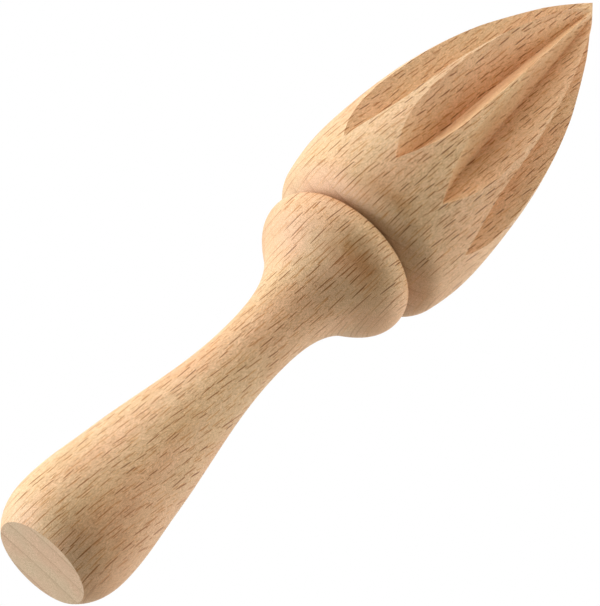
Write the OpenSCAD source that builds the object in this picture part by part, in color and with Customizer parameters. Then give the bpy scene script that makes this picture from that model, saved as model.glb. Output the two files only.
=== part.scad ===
// Wooden citrus reamer, turned in one go from one beech blank and fluted afterwards.
// The origin is the centre of the handle's flat end, +Z runs along the turning axis to the tip.
// Every station of the outline has a height z above the flat end, a radius r and, where it needs one,
// a slope: the angle between the outline and the axis, positive where the wood gets thicker.

/* [Handle] */
// Radius of the flat end
end_r = 9.45; // [7:0.05:11]
// Slope of the outline where it leaves the flat end
end_slope = 45; // [30:1:60]
// Height of the thickest place of the grip
swell_z = 9; // [7:0.5:13]
// Radius of the thickest place of the grip
swell_r = 12.6; // [11.5:0.05:15]
// Height at which the grip starts its long taper
taper_z = 24.5; // [20:0.5:32]
// Radius at which the grip starts its long taper
taper_r = 10.9; // [9.5:0.05:11.4]
// Slope of the long taper
taper_slope = -7.3; // [-12:0.1:-4]
// Height of the neck's thinnest place
neck_z = 59.6; // [50:0.1:64]
// Radius of the neck's thinnest place
neck_r = 6.45; // [5:0.05:8]

/* [Collar] */
// Height at which the flare under the collar turns from hollow to round
flare_z = 78; // [74:0.5:80]
// Radius of the flare at that height
flare_r = 11.9; // [10:0.1:13]
// Slope of the flare at that height
flare_slope = 45; // [30:1:55]
// Height of the collar's widest place
collar_z = 84.5; // [83:0.1:85.5]
// Radius of the collar's widest place
collar_r = 15.8; // [14:0.05:17]
// Height at which the collar's rim turns into the groove
rim_z = 88; // [87:0.1:88.2]
// Radius at which the collar's rim turns into the groove
rim_r = 13.95; // [13:0.05:15]
// Slope of the groove's wall on the collar
rim_slope = -66; // [-80:1:-50]
// Height of the groove's deepest line, where handle and head meet
groove_z = 88.5; // [88.3:0.1:89.3]
// Radius of the groove's deepest line
groove_r = 12.8; // [11:0.05:12.9]

/* [Head] */
// Slope of the head's underside where it leaves the groove
underside_slope = 78; // [66:1:84]
// Height of the middle of the head's rounded lower end
lip_z = 89.95; // [89.5:0.05:90.6]
// Radius of the head's rounded lower end at that height
lip_r = 16.3; // [15.5:0.05:17.2]
// Slope of the head's rounded lower end at that height
lip_slope = 58; // [50:1:65]
// Height at which the lower end has rounded over into the shoulder
shoulder_z = 93; // [92:0.1:96]
// Radius of the head's shoulder
shoulder_r = 18.6; // [17.8:0.05:19.2]
// Slope of the outline at the shoulder
shoulder_slope = 12.5; // [5:0.5:20]
// Height of the head's widest place
widest_z = 105; // [101:0.5:111]
// Radius of the head's widest place
widest_r = 19.9; // [19.3:0.05:24]
// Height of the pointed tip, the full length of the reamer
tip_z = 170; // [155:1:185]

/* [Flutes] */
// Number of flutes round the head
flute_count = 10; // [8:1:12]
// Radius of the wheel that cuts the flutes
wheel_r = 30.3; // [26:0.1:36]
// Angle between the two sides of the wheel's pointed edge
wheel_angle = 74.8; // [66:0.2:80]
// Distance by which the wheel runs beside the axis
wheel_aside = 1.6; // [0:0.05:2.2]
// Height at which the wheel has reached its full depth
full_depth_z = 114.4; // [110:0.2:118]
// Distance from the axis to the flute's bottom line at that height
full_depth_r = 12.4; // [11.2:0.05:13.4]
// Slope of the flute's bottom line at that height
bottom_slope = -8.2; // [-10:0.1:-6]
// Radius of the long curve that the bottom line follows from there to the tip
guide_r = 415; // [360:5:700]

/* [Hidden] */
// Straight chords in each curve of the outline
steps = 12;
// Chords in the curve of the rim, the lip and the other tight bends
tight_steps = 8;
// Length of a curve's end tangents, as a share of the distance between its stations
tension = 0.36;
// Facets of the cutting wheel's full circle
wheel_fn = 180;
// Facets of the long curve's full circle
guide_fn = 900;
// Distance from the turning axis to the wheel's centre at the full depth
wheel_centre_r = full_depth_r + wheel_r * cos(bottom_slope);
// Clearance by which the wheel is out of the wood at the end of its swing
wheel_clearance = 1;
// Angle through which the wheel swings out of the wood below the full depth
swing = acos((wheel_centre_r - widest_r - wheel_clearance) / wheel_r) + bottom_slope;
// Share of the way to the tip that the wheel goes on along the long curve
guide_overrun = 1.15;
// Angle of the long curve from the full depth until it is past the tip
guide_turn = guide_overrun * asin((tip_z - full_depth_z) / guide_r);
// Depth of the wheel's pointed edge, more than the deepest flute needs
edge_depth = 15;
// Half the width of the wheel's edge at that depth
edge_half_width = edge_depth * tan(wheel_angle / 2);
// Facets of the turned solids' full circle
turn_fn = 144;
// Facets of the ogive's full circle
ogive_fn = 720;
// Height of the arc that leads from the widest place to the tip
ogive_rise = tip_z - widest_z;
// Radius of that arc
ogive_r = (pow(ogive_rise, 2) + pow(widest_r, 2)) / (2 * widest_r);
BEECH = [0.84, 0.68, 0.50];
BEECH_HEAD = [0.86, 0.70, 0.52];

// Point of a cubic curve with the control points a, b, c and d, for t from 0 to 1.
function curve_point(a, b, c, d, t) =
    pow(1 - t, 3) * a + 3 * pow(1 - t, 2) * t * b + 3 * (1 - t) * pow(t, 2) * c + pow(t, 3) * d;

// Unit direction of an outline with the given slope, as [r, z].
function heading(slope) = [sin(slope), cos(slope)];

// Points of the smooth curve between two stations [r, z, slope], without the first one.
function blend(from, to, n) =
    let (
        a = [from[0], from[1]],
        d = [to[0], to[1]],
        reach = tension * norm(d - a),
        b = a + reach * heading(from[2]),
        c = d - reach * heading(to[2])
    )
    [for (i = [1 : n]) curve_point(a, b, c, d, i / n)];

// Stations of the handle from the flat end to the groove.
end_at = [end_r, 0, end_slope];
swell_at = [swell_r, swell_z, 0];
taper_at = [taper_r, taper_z, taper_slope];
neck_at = [neck_r, neck_z, 0];
flare_at = [flare_r, flare_z, flare_slope];
collar_at = [collar_r, collar_z, 0];
rim_at = [rim_r, rim_z, rim_slope];

// Stations of the head from the groove to its widest place.
underside_at = [groove_r, groove_z, underside_slope];
lip_at = [lip_r, lip_z, lip_slope];
shoulder_at = [shoulder_r, shoulder_z, shoulder_slope];
widest_at = [widest_r, widest_z, 0];

module handle_outline() {
    polygon(concat(
        [[0, 0], [end_r, 0]],
        blend(end_at, swell_at, tight_steps),
        blend(swell_at, taper_at, steps),
        blend(taper_at, neck_at, steps),
        blend(neck_at, flare_at, steps),
        blend(flare_at, collar_at, tight_steps),
        blend(collar_at, rim_at, tight_steps),
        [[groove_r, groove_z], [0, groove_z]]
    ));
}

// The lower part of the head, up to its widest place.
module head_foot_outline() {
    polygon(concat(
        [[0, groove_z], [groove_r, groove_z]],
        blend(underside_at, lip_at, tight_steps),
        blend(lip_at, shoulder_at, tight_steps),
        blend(shoulder_at, widest_at, steps),
        [[0, widest_z]]
    ));
}

// The pointed part of the head: one arc from the widest place to the tip.
module ogive_outline() {
    intersection() {
        translate([widest_r - ogive_r, widest_z])
            circle(r = ogive_r, $fn = ogive_fn);
        translate([0, widest_z])
            square([widest_r, ogive_rise]);
    }
}

// Section of the wheel's pointed edge, its point at radius r and its body on the side given by way.
module wheel_edge(r, way) {
    polygon([
        [r, 0],
        [r + way * edge_depth, edge_half_width],
        [r + way * edge_depth, -edge_half_width]
    ]);
}

// What the wheel cuts away: it swings in on its own radius, then follows the long curve past the tip.
module flute_cut() {
    translate([full_depth_r, wheel_aside, full_depth_z])
        rotate([90, 0, 0])
            rotate([0, 0, 180 - bottom_slope]) {
                translate([-wheel_r, 0, 0])
                    rotate_extrude(angle = swing, $fn = wheel_fn)
                        wheel_edge(wheel_r, -1);
                translate([guide_r, 0, 0])
                    rotate([0, 0, 180])
                        rotate_extrude(angle = guide_turn, $fn = guide_fn)
                            wheel_edge(guide_r, 1);
            }
}

module handle() {
    color(BEECH)
        rotate_extrude($fn = turn_fn)
            handle_outline();
}

module head() {
    color(BEECH_HEAD)
        difference() {
            rotate_extrude($fn = turn_fn)
                union() {
                    head_foot_outline();
                    ogive_outline();
                }
            for (i = [0 : flute_count - 1])
                rotate([0, 0, i * 360 / flute_count])
                    flute_cut();
        }
}

handle();
head();
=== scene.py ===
"""Wooden citrus reamer, dressed as one turned and fluted piece of pale, untreated beech.

The part's frame: the origin is the centre of the handle's flat end, +Z runs along the turning axis
to the tip, +X along the middle of one flute, and -Y is the side that the camera sees. Shapes are
worked out in millimetres, as a turner's drawing gives them, and meshes are made in metres.
"""

import logging
import math
from collections.abc import Callable
from dataclasses import dataclass, field
from enum import Enum, IntEnum
from typing import Union

import bpy
import numpy as np
from mathutils import Matrix, Vector


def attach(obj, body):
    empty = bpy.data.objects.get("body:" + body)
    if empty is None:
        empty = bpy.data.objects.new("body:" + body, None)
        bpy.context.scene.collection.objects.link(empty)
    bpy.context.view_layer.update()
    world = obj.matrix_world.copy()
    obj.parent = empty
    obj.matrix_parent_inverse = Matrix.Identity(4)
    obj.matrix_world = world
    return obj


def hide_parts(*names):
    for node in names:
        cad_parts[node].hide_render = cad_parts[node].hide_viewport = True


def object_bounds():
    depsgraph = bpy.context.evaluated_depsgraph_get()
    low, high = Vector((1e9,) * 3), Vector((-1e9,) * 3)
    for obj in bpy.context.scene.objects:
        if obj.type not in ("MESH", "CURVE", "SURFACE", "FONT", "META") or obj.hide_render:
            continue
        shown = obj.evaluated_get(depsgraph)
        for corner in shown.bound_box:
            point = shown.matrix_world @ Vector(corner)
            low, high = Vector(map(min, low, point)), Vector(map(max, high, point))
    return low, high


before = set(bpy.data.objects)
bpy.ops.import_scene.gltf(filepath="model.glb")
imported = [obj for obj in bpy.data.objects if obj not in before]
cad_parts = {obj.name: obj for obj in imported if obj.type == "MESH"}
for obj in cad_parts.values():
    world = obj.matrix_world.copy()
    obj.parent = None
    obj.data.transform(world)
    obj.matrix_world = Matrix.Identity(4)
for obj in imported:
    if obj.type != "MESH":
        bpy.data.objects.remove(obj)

FRAME_LOW, FRAME_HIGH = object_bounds()
LOG = logging.getLogger("reamer")
ROOT = "root"
# Attribute of a piece's faces that tells how they are cut: see mark_facing.
FACING = "facing"
# One millimetre in metres.
MM = 0.001
WHITE = (1.0, 1.0, 1.0, 1.0)
# Colours of the lamps' light: plain white, and a slightly bluish one for the light from the left.
PLAIN = (1.0, 1.0, 1.0)
DAYLIGHT = (0.92, 1.0, 1.14)


@dataclass(frozen=True)
class Station:
    """A place on a turned outline.

    Args:
        z: height above the handle's flat end, in millimetres.
        r: radius, in millimetres.
        slope: angle between the outline and the axis in degrees, positive where the wood thickens.
    """

    z: float
    r: float
    slope: float = 0.0

    @property
    def point(self) -> np.ndarray:
        """The place as [r, z]."""
        return np.array([self.r, self.z])

    @property
    def heading(self) -> np.ndarray:
        """Unit direction of the outline as [r, z]."""
        angle = math.radians(self.slope)
        return np.array([math.sin(angle), math.cos(angle)])


@dataclass(frozen=True)
class Turning:
    """How finely a turned outline is followed, and how full its curves are.

    Args:
        pitch: distance between neighbouring rings along the outline, in millimetres.
        tension: length of a curve's end tangents, as a share of the distance between its stations.
        fewest: least number of rings that a stretch takes, however short it is.
    """

    pitch: float = 0.32
    tension: float = 0.36
    fewest: int = 2

    def steps(self, length: float) -> int:
        """Number of rings that a stretch of this length takes."""
        return max(self.fewest, math.ceil(length / self.pitch))

    def straight(self, start: np.ndarray, end: np.ndarray) -> np.ndarray:
        """Evenly spaced points from start to end, without the first: start + t (end - start).

        Args:
            start: first point as [r, z].
            end: last point as [r, z].

        Returns:
            Array of points [r, z].
        """
        count = self.steps(float(np.linalg.norm(end - start)))
        t = np.linspace(0.0, 1.0, count + 1)[1:, None]
        return start + t * (end - start)

    def blend(self, start: Station, end: Station) -> np.ndarray:
        """Smooth curve between two stations, without its first point.

        It is the cubic (1-t)^3 a + 3 (1-t)^2 t b + 3 (1-t) t^2 c + t^3 d, whose inner points b and
        c lie along the outline's heading at each end.

        Args:
            start: the station that it leaves.
            end: the station that it reaches.

        Returns:
            Array of points [r, z].
        """
        a, d = start.point, end.point
        distance = float(np.linalg.norm(d - a))
        reach = self.tension * distance
        b, c = a + reach * start.heading, d - reach * end.heading
        t = np.linspace(0.0, 1.0, self.steps(distance) + 1)[1:, None]
        s = 1.0 - t
        return s**3 * a + 3 * s**2 * t * b + 3 * s * t**2 * c + t**3 * d

    def chain(self, stations: list[Station]) -> np.ndarray:
        """Joins the curves between neighbouring stations, the first station included.

        Args:
            stations: the stations in order.

        Returns:
            Array of points [r, z].
        """
        curves = [self.blend(a, b) for a, b in zip(stations, stations[1:])]
        return np.concatenate([stations[0].point[None], *curves])


def mark_facing(mesh: bpy.types.Mesh) -> None:
    """Stores how squarely each face is cut across the part's axes: its normal's parts, unsigned.

    Args:
        mesh: the mesh, which gets an attribute of its faces.
    """
    normals = np.empty(len(mesh.polygons) * 3, np.float32)
    mesh.polygons.foreach_get("normal", normals)
    mesh.attributes.new(FACING, "FLOAT_VECTOR", "FACE").data.foreach_set("vector", np.abs(normals))


def add_object(name: str, data: bpy.types.ID) -> bpy.types.Object:
    """Makes an object and links it to the scene.

    Args:
        name: its name.
        data: its mesh, camera or light.

    Returns:
        The new object.
    """
    made = bpy.data.objects.new(name, data)
    bpy.context.scene.collection.objects.link(made)
    return made


def ringed_solid(name: str, rings: np.ndarray, bottom_z: float, top_z: float) -> bpy.types.Object:
    """Makes a closed mesh from rings of points, with one pole on the axis at either end.

    Neighbouring rings are joined by quads, and each end ring by a fan of triangles to its pole, all
    wound so that the faces point outwards.

    Args:
        name: the piece's name.
        rings: array (rings, columns, 3) in millimetres, from the bottom up and counter-clockwise.
        bottom_z: height of the lower pole, in millimetres.
        top_z: height of the upper pole, in millimetres.

    Returns:
        The new object, at the origin, with its place in its mesh.
    """
    rows, columns, _ = rings.shape
    poles = np.array([[0.0, 0.0, bottom_z], [0.0, 0.0, top_z]])
    vertices = np.concatenate([rings.reshape(-1, 3), poles]) * MM
    here = np.arange(rows * columns).reshape(rows, columns)
    right = np.roll(here, -1, axis=1)
    quads = np.stack([here[:-1], right[:-1], right[1:], here[1:]], axis=-1).reshape(-1, 4)
    low, high = rows * columns, rows * columns + 1
    under = np.stack([right[0], here[0], np.full(columns, low)], axis=-1)
    over = np.stack([here[-1], right[-1], np.full(columns, high)], axis=-1)
    corners = np.concatenate([quads.ravel(), under.ravel(), over.ravel()]).astype(np.int32)
    totals = np.concatenate([np.full(len(quads), 4), np.full(2 * columns, 3)]).astype(np.int32)
    starts = np.concatenate([[0], np.cumsum(totals)[:-1]]).astype(np.int32)
    mesh = bpy.data.meshes.new(name)
    mesh.vertices.add(len(vertices))
    mesh.vertices.foreach_set("co", vertices.astype(np.float32).ravel())
    mesh.loops.add(len(corners))
    mesh.loops.foreach_set("vertex_index", corners)
    mesh.polygons.add(len(totals))
    mesh.polygons.foreach_set("loop_start", starts)
    mesh.polygons.foreach_set("loop_total", totals)
    mesh.update(calc_edges=True)
    mesh.validate()
    mark_facing(mesh)
    return add_object(name, mesh)


def shade(piece: bpy.types.Object, crease: float) -> None:
    """Shades a piece smoothly, but keeps each edge sharp that turns by more than the crease angle.

    Args:
        piece: the piece to shade.
        crease: the angle in degrees.
    """
    piece.data.shade_smooth()
    piece.data.set_sharp_from_angle(angle=math.radians(crease))


@dataclass
class Handle:
    """The turned grip with its waist, flare and collar, up to the bottom of the groove.

    Args:
        end: edge of the flat end.
        swell: thickest place of the grip.
        taper: start of the long taper.
        neck: thinnest place.
        flare: where the flare turns from hollow to round.
        collar: the collar's widest place.
        rim: where the collar's rim turns into the groove.
        groove: the groove's deepest line.
        turning: how the outline is followed.
        columns: points round a ring.
        crease: shading angle in degrees above which an edge is sharp.
    """

    end: Station = Station(0.0, 9.45, 45.0)
    swell: Station = Station(9.0, 12.6)
    taper: Station = Station(24.5, 10.9, -7.3)
    neck: Station = Station(59.6, 6.45)
    flare: Station = Station(78.0, 11.9, 45.0)
    collar: Station = Station(84.5, 15.8)
    rim: Station = Station(88.0, 13.95, -66.0)
    groove: Station = Station(88.5, 12.8)
    turning: Turning = field(default_factory=Turning)
    columns: int = 224
    crease: float = 30.0

    def outline(self) -> np.ndarray:
        """Outline from the middle of the flat end to the middle of the groove's plane.

        Returns:
            Array of points [r, z].
        """
        axis_low = np.array([0.0, self.end.z])
        axis_high = np.array([0.0, self.groove.z])
        turned = self.turning.chain(
            [self.end, self.swell, self.taper, self.neck, self.flare, self.collar, self.rim]
        )
        face = self.turning.straight(axis_low, self.end.point)[:-1]
        wall = self.turning.straight(self.rim.point, self.groove.point)
        inside = self.turning.straight(self.groove.point, axis_high)[:-1]
        return np.concatenate([face, turned, wall, inside])

    def build(self) -> bpy.types.Object:
        """Carries the outline round the axis: (r cos a, r sin a, z) for every azimuth a.

        Returns:
            The handle.
        """
        outline = self.outline()
        azimuth = np.linspace(0.0, 2 * np.pi, self.columns, endpoint=False)
        r = outline[:, :1]
        height = np.broadcast_to(outline[:, 1:], (len(outline), self.columns))
        rings = np.stack([r * np.cos(azimuth), r * np.sin(azimuth), height], axis=-1)
        piece = ringed_solid("handle_wood", rings, self.end.z, self.groove.z)
        shade(piece, self.crease)
        return piece


@dataclass(frozen=True)
class FluteCutter:
    """The wheel with a pointed edge that cuts a flute: it swings in, then runs on to the tip.

    Everything is in the flute's own plane, with x outwards from the turning axis.

    Args:
        wheel_r: the wheel's radius.
        wheel_angle: angle between the two sides of its edge, in degrees.
        aside: distance by which the wheel runs beside the axis.
        full_depth_z: height at which the wheel has reached its full depth.
        full_depth_r: distance from the axis to the flute's bottom line there.
        bottom_slope: slope of the bottom line at that height, in degrees.
        guide_r: radius of the long curve that the bottom line follows from there to the tip.
        reach: a radius beyond all of the wood, where every search ends.
        most_turn: most by which a flute's edge lies beside its bottom line, in degrees.
        halvings: steps of each search by halving.
    """

    wheel_r: float = 30.3
    wheel_angle: float = 74.8
    aside: float = 1.6
    full_depth_z: float = 114.4
    full_depth_r: float = 12.4
    bottom_slope: float = -8.2
    guide_r: float = 415.0
    reach: float = 24.0
    most_turn: float = 60.0
    halvings: int = 34

    @property
    def spread(self) -> float:
        """Half the cut's width at unit depth."""
        return math.tan(math.radians(self.wheel_angle / 2))

    def depth(self, x: np.ndarray, z: np.ndarray) -> np.ndarray:
        """Depth of a place in the flute's plane below the cutting point, negative outside the cut.

        Before the full depth it is the wheel's radius less the distance from the wheel's centre.
        Beyond it, it is the distance from the long curve's centre less that curve's radius.

        Args:
            x: distance from the turning axis.
            z: height.

        Returns:
            The depth.
        """
        slope = math.radians(self.bottom_slope)
        x, z = x - self.full_depth_r, z - self.full_depth_z
        out_x, out_z = math.cos(slope), -math.sin(slope)
        wheel = self.wheel_r - np.hypot(x - self.wheel_r * out_x, z - self.wheel_r * out_z)
        guide = np.hypot(x + self.guide_r * out_x, z + self.guide_r * out_z) - self.guide_r
        return np.where(z * out_x > x * out_z, guide, wheel)

    def halve(
        self, test: Callable[[np.ndarray], np.ndarray], low: np.ndarray, high: np.ndarray
    ) -> np.ndarray:
        """Finds where a test turns from false to true, by halving the range.

        Args:
            test: function of an array that gives an array of truths.
            low: where it is false.
            high: where it is true.

        Returns:
            The turning points.
        """
        for _ in range(self.halvings):
            middle = (low + high) / 2
            true = test(middle)
            low, high = np.where(true, low, middle), np.where(true, middle, high)
        return (low + high) / 2

    def middle(self, radius: np.ndarray) -> np.ndarray:
        """Azimuth of the wheel's plane on a circle: the arcsine of the offset over the radius."""
        return np.arcsin(self.aside / np.maximum(radius, self.aside))

    def cuts(
        self, radius: np.ndarray, azimuth: np.ndarray, z: np.ndarray, side: int
    ) -> np.ndarray:
        """Tells where a place lies on the cut's side of one wall.

        There its distance from the wheel's plane is less than the spread times its depth:
        side (r sin a - aside) < spread depth(r cos a, z).

        Args:
            radius: distance from the turning axis.
            azimuth: angle from the flute's middle, in radians.
            z: height.
            side: +1 for the counter-clockwise wall, -1 for the other.

        Returns:
            Array of truths.
        """
        across = side * (radius * np.sin(azimuth) - self.aside)
        return across < self.spread * self.depth(radius * np.cos(azimuth), z)

    def wall(self, azimuth: np.ndarray, z: np.ndarray, side: int) -> np.ndarray:
        """Radius at which one wall of the flute lies, seen from the axis.

        Args:
            azimuth: angle from the flute's middle, in radians.
            z: height.
            side: +1 or -1, as for cuts.

        Returns:
            The radius, or the reach where this wall cuts nothing.
        """
        azimuth, z = np.broadcast_arrays(azimuth, z)

        def cut(radius: np.ndarray) -> np.ndarray:
            """True where the radius lies in the cut."""
            return self.cuts(radius, azimuth, z, side)

        return self.halve(cut, np.zeros(z.shape), np.full(z.shape, self.reach))

    def edge(self, radius: np.ndarray, z: np.ndarray, side: int) -> np.ndarray:
        """Azimuth at which one wall meets the turned surface, or the bottom's where none does.

        Args:
            radius: radius of the turned surface.
            z: height.
            side: +1 or -1, as for cuts.

        Returns:
            The azimuth, in radians.
        """
        start = self.middle(radius)
        most = np.full(radius.shape, math.radians(self.most_turn))

        def kept(turn: np.ndarray) -> np.ndarray:
            """True where the turned surface is left standing, this far from the wheel's plane."""
            return ~self.cuts(radius, start + side * turn, z, side)

        return start + side * self.halve(kept, np.zeros(radius.shape), most)


@dataclass
class Head:
    """The pointed, fluted head, from the bottom of the groove to the tip.

    Args:
        groove: the groove's deepest line, with the slope of the underside there.
        lip: the middle of the rounded lower end.
        shoulder: where it has rounded over.
        widest: the widest place.
        tip_z: height of the tip.
        flutes: number of flutes.
        cutter: the wheel that cuts them.
        turning: how the outline is followed.
        wall_columns: columns on each wall of a flute.
        strip_columns: columns on the turned strip between two flutes, an even number.
        least_strip: least width of the strip's columns, in millimetres.
        least_wall: least width of a wall's columns, in millimetres.
        fan_rate: how fast the columns spread beyond a flute's ends, in millimetres a millimetre.
        fan_share: most that a wall's columns take there, as a share of the flutes' pitch.
        ridge_range: shares of the flutes' pitch between which a ridge is looked for.
        crease: shading angle in degrees above which an edge is sharp.
    """

    groove: Station = Station(88.5, 12.8, 78.0)
    lip: Station = Station(89.95, 16.3, 58.0)
    shoulder: Station = Station(93.0, 18.6, 12.5)
    widest: Station = Station(105.0, 19.9)
    tip_z: float = 170.0
    flutes: int = 10
    cutter: FluteCutter = field(default_factory=FluteCutter)
    turning: Turning = field(default_factory=Turning)
    wall_columns: int = 9
    strip_columns: int = 6
    least_strip: float = 0.16
    least_wall: float = 0.02
    fan_rate: float = 0.55
    fan_share: float = 0.3
    ridge_range: tuple[float, float] = (0.1, 0.9)
    crease: float = 24.0

    @property
    def pitch(self) -> float:
        """Azimuth between neighbouring flutes, in radians."""
        return 2 * math.pi / self.flutes

    def ogive(self) -> np.ndarray:
        """One arc from the widest place to the tip, both left out.

        The arc starts parallel to the axis, so its radius is (h^2 + w^2) / 2w for the height h and
        the half width w, and its points are (w - R + R cos s, z + R sin s).

        Returns:
            Array of points [r, z].
        """
        rise = self.tip_z - self.widest.z
        radius = (rise**2 + self.widest.r**2) / (2 * self.widest.r)
        sweep = math.asin(rise / radius)
        s = np.linspace(0.0, sweep, self.turning.steps(sweep * radius) + 1)[1:-1]
        r = self.widest.r - radius + radius * np.cos(s)
        return np.stack([r, self.widest.z + radius * np.sin(s)], axis=-1)

    def outline(self) -> np.ndarray:
        """Turned outline from the middle of the groove's plane up to the tip.

        Returns:
            Array of points [r, z].
        """
        axis = np.array([0.0, self.groove.z])
        inside = self.turning.straight(axis, self.groove.point)
        lower = self.turning.chain([self.groove, self.lip, self.shoulder, self.widest])[1:]
        return np.concatenate([inside, lower, self.ogive()])

    def columns(self, r: np.ndarray, z: np.ndarray) -> np.ndarray:
        """Azimuths of the columns from one flute's bottom line to the next one's, row by row.

        A column runs exactly along each bottom line and each edge of a turned strip, or along the
        ridge where two flutes leave no strip. Beyond a flute's ends its columns fan out.

        Args:
            r: turned radius of each row.
            z: height of each row.

        Returns:
            Array (rows, columns) in radians.
        """
        pitch = self.pitch
        around = np.maximum(r, self.least_strip)
        middle = self.cutter.middle(r)
        fluted = self.cutter.depth(r * np.cos(middle), z) > 0
        bottom = np.where(fluted, self.bottom_azimuth(r, z), middle)
        # Beyond a flute's ends, each wall's columns spread with the distance from the end.
        foot, end = z[fluted].min(), z[fluted].max()
        beyond = np.maximum(0.0, np.maximum(foot - z, z - end))
        fan = np.minimum(self.least_wall + self.fan_rate * beyond, self.fan_share * pitch * r)
        # The strip runs from this flute's edge to the next one's, or as a thin one on the ridge.
        left, right = self.cutter.edge(r, z, 1), self.cutter.edge(r, z, -1)
        first = np.maximum(left, bottom + fan / around)
        last = np.minimum(right, bottom - fan / around) + pitch
        centre = np.where(left > right + pitch, self.ridge(z), (first + last) / 2)
        half = np.maximum((last - first) / 2, self.least_strip / around / 2)
        first, last = centre - half, centre + half
        wall = np.linspace(0.0, 1.0, self.wall_columns + 1)
        strip = np.linspace(0.0, 1.0, self.strip_columns + 1)[1:-1]
        parts = (
            bottom[:, None] + (first - bottom)[:, None] * wall,
            first[:, None] + (last - first)[:, None] * strip,
            last[:, None] + (bottom + pitch - last)[:, None] * wall[:-1],
        )
        return np.concatenate(parts, axis=1)

    def bottom_azimuth(self, r: np.ndarray, z: np.ndarray) -> np.ndarray:
        """Azimuth of a flute's bottom line: the arctangent of the wheel's offset over its reach.

        Args:
            r: turned radius of each row.
            z: height of each row.

        Returns:
            The azimuth in radians.
        """

        def inside(x: np.ndarray) -> np.ndarray:
            """True where the plane of the wheel is cut."""
            return self.cutter.depth(x, z) > 0

        x = self.cutter.halve(inside, np.zeros(z.shape), np.full(z.shape, self.cutter.reach))
        return np.arctan2(self.cutter.aside, np.minimum(x, r))

    def ridge(self, z: np.ndarray) -> np.ndarray:
        """Azimuth of the ridge that two neighbouring flutes leave, if they leave no strip.

        Args:
            z: height of each row.

        Returns:
            The azimuth in radians, where one flute's wall is as far out as the next one's.
        """
        low, high = (np.full(z.shape, share * self.pitch) for share in self.ridge_range)

        def past(azimuth: np.ndarray) -> np.ndarray:
            """True where the next flute's wall lies further in."""
            here = self.cutter.wall(azimuth, z, 1)
            return here > self.cutter.wall(azimuth - self.pitch, z, -1)

        return self.cutter.halve(past, low, high)

    def build(self) -> bpy.types.Object:
        """Makes the head: at every height and azimuth, the least of the turned and cut radii.

        Returns:
            The head.
        """
        outline = self.outline()
        r, z = outline[:, 0], outline[:, 1]
        azimuth = self.columns(r, z)
        height = np.broadcast_to(z[:, None], azimuth.shape)
        here = self.cutter.wall(azimuth, height, 1)
        following = self.cutter.wall(azimuth - self.pitch, height, -1)
        radius = np.minimum(r[:, None], np.minimum(here, following))
        turns = self.pitch * np.arange(self.flutes)[:, None, None]
        around = np.concatenate(list(azimuth[None] + turns), axis=1)
        radius, height = np.tile(radius, (1, self.flutes)), np.tile(height, (1, self.flutes))
        rings = np.stack([radius * np.cos(around), radius * np.sin(around), height], axis=-1)
        piece = ringed_solid("head_wood", rings, self.groove.z, self.tip_z)
        shade(piece, self.crease)
        return piece


@dataclass(frozen=True)
class Viewpoint:
    """Where the photograph was taken from.

    Args:
        aim: the point on the axis that it looks at, in metres.
        azimuth: turn round the axis in degrees; 0 looks along +Y.
        elevation: height above the aim in degrees; negative looks up from below the flat end.
        roll: turn of the camera about its own line of sight, in degrees.
        distance: from the camera to the aim, in metres.
        lens: focal length in millimetres.
        sensor: sensor width in millimetres.
        clip: nearest and farthest distance that it sees, in metres.
    """

    aim: tuple[float, float, float] = (0.0003, 0.0, 0.07335)
    azimuth: float = 4.05
    elevation: float = -29.74
    roll: float = 44.47
    distance: float = 0.5925
    lens: float = 192.0
    sensor: float = 36.0
    clip: tuple[float, float] = (0.01, 20.0)

    def build(self) -> None:
        """Adds the camera and makes it the scene's own."""
        data = bpy.data.cameras.new("camera")
        data.lens = self.lens
        data.sensor_width = self.sensor
        data.sensor_fit = "HORIZONTAL"
        data.clip_start, data.clip_end = self.clip
        turn = math.radians(self.azimuth)
        rise = math.radians(self.elevation)
        back = Vector(
            (math.sin(turn) * math.cos(rise), -math.cos(turn) * math.cos(rise), math.sin(rise))
        )
        camera = add_object("camera", data)
        facing = back.to_track_quat("Z", "Y").to_matrix().to_4x4()
        rolled = facing @ Matrix.Rotation(math.radians(self.roll), 4, "Z")
        camera.matrix_world = Matrix.Translation(Vector(self.aim) + back * self.distance) @ rolled
        bpy.context.scene.camera = camera


class Step(Enum):
    """Steps of shader maths, by the names that Blender gives them."""

    ADD = "ADD"
    SUBTRACT = "SUBTRACT"
    MULTIPLY = "MULTIPLY"
    DIVIDE = "DIVIDE"
    POWER = "POWER"
    ABSOLUTE = "ABSOLUTE"
    FRACTION = "FRACT"
    EXPONENTIAL = "EXPONENT"
    LARGER = "MAXIMUM"


class ColourMix(IntEnum):
    """Numbers of the sockets that a Mix node uses for colours."""

    FACTOR = 0
    FIRST = 6
    SECOND = 7
    RESULT = 2


Operand = Union["Socket", float, tuple]


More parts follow.
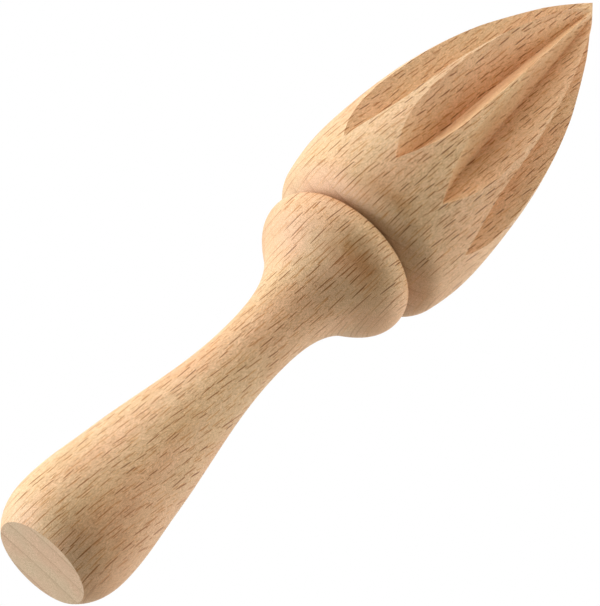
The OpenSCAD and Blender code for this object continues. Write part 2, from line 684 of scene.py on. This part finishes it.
@dataclass(frozen=True)
class Socket:
    """An output of a shader node, with which shader maths is written as it reads.

    Args:
        tree: the node tree.
        output: the output.
    """

    tree: bpy.types.NodeTree
    output: bpy.types.NodeSocket

    def node(
        self,
        kind: str,
        settings: dict[str, object],
        inputs: dict[int | str, object],
        output: int | str = 0,
    ) -> "Socket":
        """Adds a node of any kind to the tree.

        Args:
            kind: the node's type.
            settings: its settings by name.
            inputs: sockets or constants for its inputs, by name or number.
            output: which of its outputs is wanted.

        Returns:
            That output.
        """
        made = self.tree.nodes.new(kind)
        for name, value in settings.items():
            setattr(made, name, value)
        for name, value in inputs.items():
            if isinstance(value, Socket):
                self.tree.links.new(value.output, made.inputs[name])
            else:
                made.inputs[name].default_value = value
        return Socket(self.tree, made.outputs[output])

    def twin(self, output: str) -> "Socket":
        """Another output of this one's node."""
        return Socket(self.tree, self.output.node.outputs[output])

    def finish(self, end: bpy.types.Node) -> None:
        """Makes this shader the one that the tree's output node shows."""
        self.tree.links.new(self.output, end.inputs["Surface"])

    def number(self, step: Step, *values: Operand, clamp: bool = False) -> "Socket":
        """A step of maths on numbers, with this socket or another value first.

        Args:
            step: the step.
            values: all of its operands in order.
            clamp: whether the result is kept between 0 and 1.

        Returns:
            The result.
        """
        settings = {"operation": step.value, "use_clamp": clamp}
        return self.node("ShaderNodeMath", settings, dict(enumerate(values)))

    def join(self, step: Step, first: Operand, second: Operand) -> "Socket":
        """A step of maths on two operands of this socket's kind: number, vector or colour.

        Args:
            step: the step.
            first: the first operand; a plain number stands for all parts of a vector or colour.
            second: the second operand, likewise.

        Returns:
            The result.
        """
        kind = self.output.type
        if kind == "VALUE":
            return self.number(step, first, second)
        parts = 3 if kind == "VECTOR" else 4
        pair = [(v,) * parts if isinstance(v, (int, float)) else v for v in (first, second)]
        if kind == "VECTOR":
            settings = {"operation": step.value}
            return self.node("ShaderNodeVectorMath", settings, dict(enumerate(pair)))
        settings = {"data_type": "RGBA", "blend_type": step.value}
        inputs = dict(zip(ColourMix, (1.0, *pair)))
        return self.node("ShaderNodeMix", settings, inputs, ColourMix.RESULT)

    def __add__(self, other: Operand) -> "Socket":
        """This plus the other."""
        return self.join(Step.ADD, self, other)

    def __sub__(self, other: Operand) -> "Socket":
        """This less the other."""
        return self.join(Step.SUBTRACT, self, other)

    def __rsub__(self, other: Operand) -> "Socket":
        """The other less this."""
        return self.join(Step.SUBTRACT, other, self)

    def __mul__(self, other: Operand) -> "Socket":
        """This times the other."""
        return self.join(Step.MULTIPLY, self, other)

    def __truediv__(self, other: Operand) -> "Socket":
        """This divided by the other."""
        return self.join(Step.DIVIDE, self, other)

    def __pow__(self, other: Operand) -> "Socket":
        """This to the power of the other."""
        return self.number(Step.POWER, self, other)

    def __abs__(self) -> "Socket":
        """This without its sign."""
        return self.number(Step.ABSOLUTE, self)

    def clamped(self) -> "Socket":
        """This kept between 0 and 1."""
        return self.number(Step.ADD, self, 0.0, clamp=True)

    def smooth(self, low: float, high: float) -> "Socket":
        """Smooth step between two values of this one.

        Args:
            low: value up to which the step is 0.
            high: value from which it is 1.

        Returns:
            The step.
        """
        settings = {"interpolation_type": "SMOOTHSTEP"}
        inputs = {"Value": self, "From Min": low, "From Max": high}
        return self.node("ShaderNodeMapRange", settings, inputs)

    def parts(self) -> tuple["Socket", "Socket", "Socket"]:
        """Takes this vector or colour apart.

        Returns:
            Its three parts in order.
        """
        vector = self.output.type == "VECTOR"
        kind = "ShaderNodeSeparateXYZ" if vector else "ShaderNodeSeparateColor"
        first = self.node(kind, {}, {0: self})
        return tuple(Socket(self.tree, end) for end in first.output.node.outputs[:3])

    def blend(self, low: Operand, high: Operand) -> "Socket":
        """Colour between two colours, by this factor: the low one at 0, the high one at 1."""
        inputs = dict(zip(ColourMix, (self, low, high)))
        return self.node("ShaderNodeMix", {"data_type": "RGBA"}, inputs, ColourMix.RESULT)


def empty_tree(owner: bpy.types.Material | bpy.types.World) -> tuple[Socket, bpy.types.Node]:
    """Clears the node tree of a material or a world.

    Args:
        owner: the material or world.

    Returns:
        A coordinate socket to start from, and the tree's output node.
    """
    owner.use_nodes = True
    tree = owner.node_tree
    tree.nodes.clear()
    world = isinstance(owner, bpy.types.World)
    end = tree.nodes.new("ShaderNodeOutputWorld" if world else "ShaderNodeOutputMaterial")
    place = tree.nodes.new("ShaderNodeTexCoord")
    return Socket(tree, place.outputs["Object"]), end


@dataclass(frozen=True)
class Flecks:
    """A set of the short dark dashes that a beech's rays show where they are cut across.

    There is one dash to a cell of an uneven pattern, which is the same all along the rays.

    Args:
        across: mean distance between dashes across the grain, in millimetres.
        along: mean distance between them along the grain.
        half_width: half of a dash's width at its middle.
        shortest: half of the shortest dash's length.
        longest: half of the longest dash's length.
        faintest: darkness of the faintest dash, as a share of the darkest one's.
        strength: darkness of the darkest dash.
        lean: most by which a dash leans off the grain, to either side.
        edge: width over which a dash fades out at its sides, in millimetres.
        taper: power with which a dash gets thinner towards its ends.
        spread: how unevenly the dashes lie, from 0 for a grid to 1.
        seed: offset of this set's pattern.
    """

    across: float
    along: float
    half_width: float
    shortest: float
    longest: float
    faintest: float
    strength: float = 1.0
    lean: float = 0.06
    edge: float = 0.03
    taper: float = 4.0
    spread: float = 0.85
    seed: float = 0.0

    def build(self, t: Socket, f: Socket) -> Socket:
        """Darkness of the dashes: the strength in the middle of the darkest one, 0 between them.

        A dash covers the points where |dt| < w (1 - |df / h|^n), for the distances dt across and df
        along the grain from its middle, its half width w, its half length h and the taper n.

        Args:
            t: distance across the grain, in millimetres.
            f: distance along the grain.

        Returns:
            The darkness.
        """
        u, v = t / self.across + self.seed, f / self.along + self.seed
        flat = t.node("ShaderNodeCombineXYZ", {}, {0: u, 1: v})
        settings = {"voronoi_dimensions": "2D", "feature": "F1"}
        inputs = {"Vector": flat, "Scale": 1.0, "Randomness": self.spread}
        cell = t.node("ShaderNodeTexVoronoi", settings, inputs, "Color")
        middle_u, middle_v, _ = cell.twin("Position").parts()
        size, dark, turn = cell.parts()
        df = (v - middle_v) * self.along
        dt = (u - middle_u) * self.across + df * (turn - 0.5) * (2 * self.lean)
        half_length = size * (self.longest - self.shortest) + self.shortest
        spindle = (1.0 - abs(df / half_length) ** self.taper) * self.half_width
        inside = ((spindle - abs(dt)) / self.edge).clamped()
        return inside * (dark * (1.0 - self.faintest) + self.faintest) * self.strength


@dataclass(frozen=True)
class Grain:
    """Soft noise in the wood, drawn out along the fibres.

    Args:
        across: features a millimetre across the fibres.
        along: features a millimetre along them.
        strength: how far it changes what it is added to, from its least to its most.
        detail: number of finer layers.
        low: value of the noise below which there is no patch.
        high: value of the noise above which a patch is full.
    """

    across: float
    along: float
    strength: float = 1.0
    detail: float = 2.0
    low: float = 0.35
    high: float = 0.65

    def noise(self, t: Socket, r: Socket, f: Socket) -> Socket:
        """The noise itself, from 0 to 1 about 0.5.

        Args:
            t: distance across the rays, in millimetres.
            r: distance along the rays.
            f: distance along the fibres.

        Returns:
            The noise.
        """
        parts = {0: t * self.across, 1: r * self.across, 2: f * self.along}
        place = t.node("ShaderNodeCombineXYZ", {}, parts)
        inputs = {"Vector": place, "Scale": 1.0, "Detail": self.detail}
        return t.node("ShaderNodeTexNoise", {}, inputs)

    def swing(self, t: Socket, r: Socket, f: Socket) -> Socket:
        """Change to either side of 0, as far as half of the strength."""
        return (self.noise(t, r, f) - 0.5) * self.strength

    def patches(self, t: Socket, r: Socket, f: Socket) -> Socket:
        """Soft-edged patches: 0 between them and the strength inside."""
        return self.noise(t, r, f).smooth(self.low, self.high) * self.strength


@dataclass(frozen=True)
class StainAndShade:
    """A soft reddish brown patch inside the wood: partly a stain, partly painted shade.

    Args:
        middle: its middle in the part's frame, in millimetres.
        size: its half widths along the part's axes.
        strength: how strong it is in its middle.
    """

    middle: tuple[float, float, float]
    size: tuple[float, float, float]
    strength: float = 1.0

    def build(self, place: Socket, warp: Socket) -> Socket:
        """Strength of the patch: s exp(-d^2) for the distance d from its middle in half widths.

        Args:
            place: Object coordinates, in metres.
            warp: change of the squared distance, about 0.

        Returns:
            The strength, from 0 to 1.
        """
        offset = place / MM - self.middle
        x, y, z = (offset / self.size).parts()
        spread = x * x + y * y + z * z + warp
        return (place.number(Step.EXPONENTIAL, spread * -1.0) * self.strength).clamped()


@dataclass(frozen=True)
class Beech:
    """Untreated beech as a solid: what shows on a surface is how it cuts the tree's rings and rays.

    The wood's own directions are t, across the rays, r, along them, and f, along the fibres. The
    rays run along the part's Y, so the dashes show on the side that the camera sees.

    Args:
        lean: turns that bring the part's axes to t, r and f, in degrees.
        wander: how far the fibres wander across, in millimetres.
        pith: distance from the turning axis to the middle of the tree, in millimetres.
        ring_density: rings a millimetre at the turning axis.
        ring_growth: distance over which the rings' density grows by the factor e, outwards.
        ring_start: number of rings by which the pattern is shifted.
        side_rings: how clearly the rings show on the turned sides, against the end face.
        late_rise: power with which a ring gets darker outwards.
        line_rise: power with which the thin line at its edge sets in.
        pale: colour of the early wood.
        late: colour factor of the late wood at a ring's edge.
        line: colour factor of the thin line at the ring's edge.
        end_grain: colour factor of the flat end.
        pink: colour factor of the pinkish patches.
        yellow: colour factor of the yellowish patches.
        stain_and_shade: colour factor of the reddish brown figure and of the partly painted shade.
        dash: colour of a ray's dash where the rays are cut across.
        flake: colour of a ray where the surface runs along it.
        dash_rise: powers with which red, green and blue follow a dash's darkness.
        hue: how far the fibres change red, green and blue.
        tints: noise of the pinkish and yellowish patches.
        figure: noise of the reddish brown figure.
        warp: noise that gives the stains their uneven outlines.
        stains_and_shade: the largest brown patches, each in its own place, in part painted shade.
        fibre: noise of the fibres.
        streak: noise of the broader streaks.
        bold: the long dark dashes.
        fine: the short thin ones between them.
        end_cut: parts of the normal along the fibres between which a surface becomes end grain.
        ray_cut: parts of the normal along the rays between which flakes become dark dashes.
        grip_dashes: darkness of the grip's dashes, as a share of the head's.
        bolder_z: heights in metres between which the dashes get darker.
        roughness: mean roughness of the sanded surface.
        specular: strength of the surface's mirror reflection, 0.5 for a dense surface.
        gloss_swing: how far the fibres change the roughness.
        relief: depth of the fibres' relief, in metres.
        relief_strength: strength of the relief's shading.
    """

    lean: tuple[float, float, float] = (-1.09, -5.6, 0.0)
    wander: Grain = Grain(0.03, 0.012, strength=2.4, detail=1.0)
    pith: float = 115.0
    ring_density: float = 0.19
    ring_growth: float = 35.5
    ring_start: float = -6.38
    side_rings: float = 0.25
    late_rise: float = 2.5
    line_rise: float = 26.0
    pale: tuple[float, float, float, float] = (0.75, 0.475, 0.255, 1.0)
    late: tuple[float, float, float, float] = (0.94, 0.90, 0.88, 1.0)
    line: tuple[float, float, float, float] = (0.72, 0.64, 0.62, 1.0)
    end_grain: tuple[float, float, float, float] = (0.865, 0.94, 1.05, 1.0)
    pink: tuple[float, float, float, float] = (1.03, 0.97, 0.95, 1.0)
    yellow: tuple[float, float, float, float] = (0.98, 1.01, 0.98, 1.0)
    # Factor of the figure and of the stains, which are partly painted shade.
    stain_and_shade: tuple[float, float, float, float] = (0.74, 0.60, 0.44, 1.0)
    dash: tuple[float, float, float, float] = (0.16, 0.045, 0.0, 1.0)
    flake: tuple[float, float, float, float] = (0.52, 0.29, 0.145, 1.0)
    dash_rise: tuple[float, float, float] = (1.25, 0.8, 0.5)
    hue: tuple[float, float, float] = (0.8, 1.0, 1.25)
    tints: Grain = Grain(0.10, 0.03)
    figure: Grain = Grain(0.14, 0.06, strength=0.25, detail=3.0, low=0.52, high=0.66)
    warp: Grain = Grain(0.5, 0.3, strength=2.0, detail=3.0)
    # Partly painted shade: they darken the middle of the camera's side, where light is weakest.
    stains_and_shade: tuple[StainAndShade, ...] = (
        StainAndShade((3.5, -13.5, 80.3), (6.0, 6.0, 2.6)),
        StainAndShade((0.6, -18.5, 92.6), (5.0, 6.0, 1.7), 0.65),
        StainAndShade((3.5, -12.5, 9.0), (8.0, 8.0, 7.0), 0.4),
    )
    fibre: Grain = Grain(8.0, 2.0, strength=1.8, detail=3.0)
    streak: Grain = Grain(1.3, 0.10, strength=0.3)
    bold: Flecks = Flecks(
        across=1.35,
        along=4.0,
        half_width=0.105,
        shortest=1.2,
        longest=2.4,
        faintest=0.3,
    )
    fine: Flecks = Flecks(
        across=0.85,
        along=2.4,
        half_width=0.065,
        shortest=0.5,
        longest=1.2,
        faintest=0.1,
        strength=0.8,
        seed=37.0,
    )
    end_cut: tuple[float, float] = (0.8, 0.95)
    ray_cut: tuple[float, float] = (0.2, 0.55)
    grip_dashes: float = 0.9
    bolder_z: tuple[float, float] = (0.05, 0.085)
    roughness: float = 0.55
    specular: float = 0.3
    gloss_swing: float = 0.1
    relief: float = 0.00002
    relief_strength: float = 0.35

    def wood_axes(self, place: Socket) -> tuple[Socket, Socket, Socket]:
        """The wood's own coordinates t, r and f in millimetres, with a slight wander of the fibres.

        Args:
            place: Object coordinates, in metres.

        Returns:
            t, r and f.
        """
        turn = tuple(math.radians(angle) for angle in self.lean)
        inputs = {"Vector": place, "Rotation": turn, "Scale": (1 / MM,) * 3}
        t, r, f = place.node("ShaderNodeMapping", {}, inputs).parts()
        return t + self.wander.swing(t, r, f), r, f

    def rings(self, t: Socket, r: Socket) -> tuple[Socket, Socket]:
        """The growth rings: circles about the far pith, closer together outwards.

        The count of rings at a depth y is c + d g exp(-y / g), for the start c, the density d and
        the growth g.
        Each ring gets darker outwards and ends with a thin line.

        Args:
            t: distance across the rays.
            r: distance along the rays.

        Returns:
            The late wood's share and the line's share, both from 0 to 1.
        """
        depth = r - t * t / (2 * self.pith)
        growth = r.number(Step.EXPONENTIAL, depth * (-1 / self.ring_growth))
        count = growth * (self.ring_density * self.ring_growth) + self.ring_start
        age = r.number(Step.FRACTION, count)
        return age**self.late_rise, age**self.line_rise

    def body(self, t: Socket, r: Socket, f: Socket, side: Socket, tone: Socket) -> Socket:
        """Colour of the wood between its dashes: the product of its colour and all the factors.

        Args:
            t: distance across the rays.
            r: distance along the rays.
            f: distance along the fibres.
            side: 1 on the turned sides and 0 on the flat end.
            tone: how far the fibres lighten or darken it, about 0.

        Returns:
            The colour.
        """
        late, line = self.rings(t, r)
        shown = 1.0 - side * (1.0 - self.side_rings)
        colour = self.tints.patches(t, r, f).blend(self.yellow, self.pink) * self.pale
        colour = colour * (self.figure.patches(t, r, f) * side).blend(WHITE, self.stain_and_shade)
        colour = colour * (late * shown).blend(WHITE, self.late)
        colour = colour * (line * shown).blend(WHITE, self.line)
        colour = colour * side.blend(self.end_grain, WHITE)
        swings = {part: tone * share + 1.0 for part, share in enumerate(self.hue)}
        return colour * tone.node("ShaderNodeCombineColor", {}, swings)

    def dashes(self, place: Socket, t: Socket, f: Socket) -> Socket:
        """Darkness of all the rays' dashes, which are a little fainter on the grip.

        Args:
            place: Object coordinates, in metres.
            t: distance across the rays, in millimetres.
            f: distance along the fibres.

        Returns:
            The darkness, from 0 to 1.
        """
        _, _, height = place.parts()
        strong = height.smooth(*self.bolder_z) * (1.0 - self.grip_dashes) + self.grip_dashes
        return t.number(Step.LARGER, self.bold.build(t, f), self.fine.build(t, f)) * strong

    def build(self) -> bpy.types.Material:
        """Makes the material.

        Where the dashes' darkness is d, each part of the colour is c (1 - d^p) + e d^p, for the
        wood's colour c, the ray's colour e and the part's own power p.

        Returns:
            The material.
        """
        material = bpy.data.materials.new("beech")
        place, end = empty_tree(material)
        t, r, f = self.wood_axes(place)
        cut = place.node("ShaderNodeAttribute", {"attribute_name": FACING}, {}, "Vector")
        _, across_rays, across_fibres = cut.parts()
        side = 1.0 - across_fibres.smooth(*self.end_cut)
        fibre = self.fibre.swing(t, r, f)
        colour = self.body(t, r, f, side, fibre + self.streak.swing(t, r, f))
        warp = self.warp.swing(t, r, f)
        # Brown patches, partly stains and partly painted shade where the light is weakest.
        for stain_and_shade in self.stains_and_shade:
            colour = stain_and_shade.build(place, warp).blend(colour, colour * self.stain_and_shade)
        dashes = self.dashes(place, t, f) * side
        depths = {part: dashes**power for part, power in enumerate(self.dash_rise)}
        depth = t.node("ShaderNodeCombineColor", {}, depths)
        ray = across_rays.smooth(*self.ray_cut).blend(self.flake, self.dash)
        colour = colour * (1.0 - depth) + ray * depth
        inputs = {
            "Strength": self.relief_strength,
            "Distance": self.relief,
            "Height": fibre - dashes,
        }
        bump = place.node("ShaderNodeBump", {}, inputs)
        inputs = {
            "Base Color": colour,
            "Roughness": fibre * self.gloss_swing + self.roughness,
            "Specular IOR Level": self.specular,
            "Normal": bump,
        }
        place.node("ShaderNodeBsdfPrincipled", {}, inputs).finish(end)
        return material


@dataclass(frozen=True)
class SoftLamp:
    """A square area lamp that looks at the middle of the reamer.

    Args:
        name: the lamp's name.
        towards: direction from the reamer to the lamp.
        power: its power in watts.
        colour: colour of its light.
        size: edge length in metres.
        distance: how far away it stands, in metres.
    """

    name: str
    towards: tuple[float, float, float]
    power: float
    colour: tuple[float, float, float] = PLAIN
    size: float = 0.5
    distance: float = 0.8

    def build(self, aim: Vector) -> None:
        """Adds the lamp.

        Args:
            aim: the point that it looks at.
        """
        data = bpy.data.lights.new(self.name, "AREA")
        data.shape = "SQUARE"
        data.size = self.size
        data.energy = self.power
        data.color = self.colour
        lamp = add_object(self.name, data)
        away = Vector(self.towards).normalized()
        lamp.location = aim + away * self.distance
        lamp.rotation_mode = "QUATERNION"
        lamp.rotation_quaternion = away.to_track_quat("Z", "Y")
        lamp.visible_camera = False


@dataclass(frozen=True)
class Studio:
    """Plain soft light from all round, a white world and a pale floor under the flat end.

    Args:
        lamps: the lamps.
        ambient: strength of the world's light on the object.
        floor_size: edge length of the floor, in metres.
        floor_tone: how pale the floor is.
        floor_fade: distances in metres between which it fades out.
    """

    lamps: tuple[SoftLamp, ...] = (
        SoftLamp("lamp_left", (-0.879, 0.14, -0.455), 4.55, DAYLIGHT),
        SoftLamp("lamp_left_low", (-0.587, 0.126, -0.8), 3.45, DAYLIGHT),
        SoftLamp("lamp_top", (-0.676, -0.368, 0.639), 7.8, size=1.0),
        SoftLamp("lamp_right_front", (0.666, -0.423, 0.615), 2.7),
        SoftLamp("lamp_right_back", (0.862, 0.375, 0.341), 1.5),
        SoftLamp("lamp_low", (0.95, 0.275, -0.15), 1.2),
    )
    ambient: float = 0.19
    floor_size: float = 1.6
    floor_tone: float = 0.86
    floor_fade: tuple[float, float] = (0.2, 0.55)

    def build_world(self) -> None:
        """Makes the world white for the camera and in mirror images, and a soft fill otherwise."""
        world = bpy.data.worlds.new("studio")
        bpy.context.scene.world = world
        place, end = empty_tree(world)
        ray = place.node("ShaderNodeLightPath", {}, {}, "Is Camera Ray")
        seen = ray
        for name in ("Is Glossy Ray", "Is Transmission Ray"):
            seen = ray.number(Step.LARGER, seen, ray.twin(name))
        strength = seen * (1.0 - self.ambient) + self.ambient
        inputs = {"Color": WHITE, "Strength": strength}
        place.node("ShaderNodeBackground", {}, inputs).finish(end)

    def build_floor(self) -> None:
        """Makes the floor: a pale sheet that shows a shadow from above and is clear from below."""
        half = self.floor_size / 2
        corners = [(-half, -half, 0.0), (half, -half, 0.0), (half, half, 0.0), (-half, half, 0.0)]
        mesh = bpy.data.meshes.new("floor")
        mesh.from_pydata(corners, [], [(0, 1, 2, 3)])
        floor = add_object("floor", mesh)
        material = bpy.data.materials.new("floor")
        place, end = empty_tree(material)
        pale = place.node("ShaderNodeBsdfDiffuse", {}, {"Color": (self.floor_tone,) * 3 + (1.0,)})
        clear = place.node("ShaderNodeBsdfTransparent", {}, {})
        below = place.node("ShaderNodeNewGeometry", {}, {}, "Backfacing")
        x, y, _ = place.parts()
        far = ((x * x + y * y) ** 0.5).smooth(*self.floor_fade)
        gone = place.number(Step.LARGER, below, far)
        place.node("ShaderNodeMixShader", {}, {0: gone, 1: pale, 2: clear}).finish(end)
        mesh.materials.append(material)
        for ray in ("diffuse", "glossy", "transmission", "shadow"):
            setattr(floor, f"visible_{ray}", False)

    def build(self, aim: Vector) -> None:
        """Builds the lamps, the world and the floor.

        Args:
            aim: the point that the lamps look at.
        """
        for lamp in self.lamps:
            lamp.build(aim)
        self.build_world()
        self.build_floor()


def main() -> None:
    """Builds the camera, the studio and the two pieces of wood."""
    logging.basicConfig(level=logging.INFO)
    bpy.context.scene.view_settings.view_transform = "Standard"
    Viewpoint().build()
    Studio().build((FRAME_LOW + FRAME_HIGH) / 2)
    wood = Beech().build()
    for piece, node in ((Handle().build(), "handle"), (Head().build(), "head")):
        piece.data.materials.append(wood)
        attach(piece, ROOT)
        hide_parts(node)
        LOG.info("%s: %d faces", piece.name, len(piece.data.polygons))


if __name__ == "__main__":
    main()
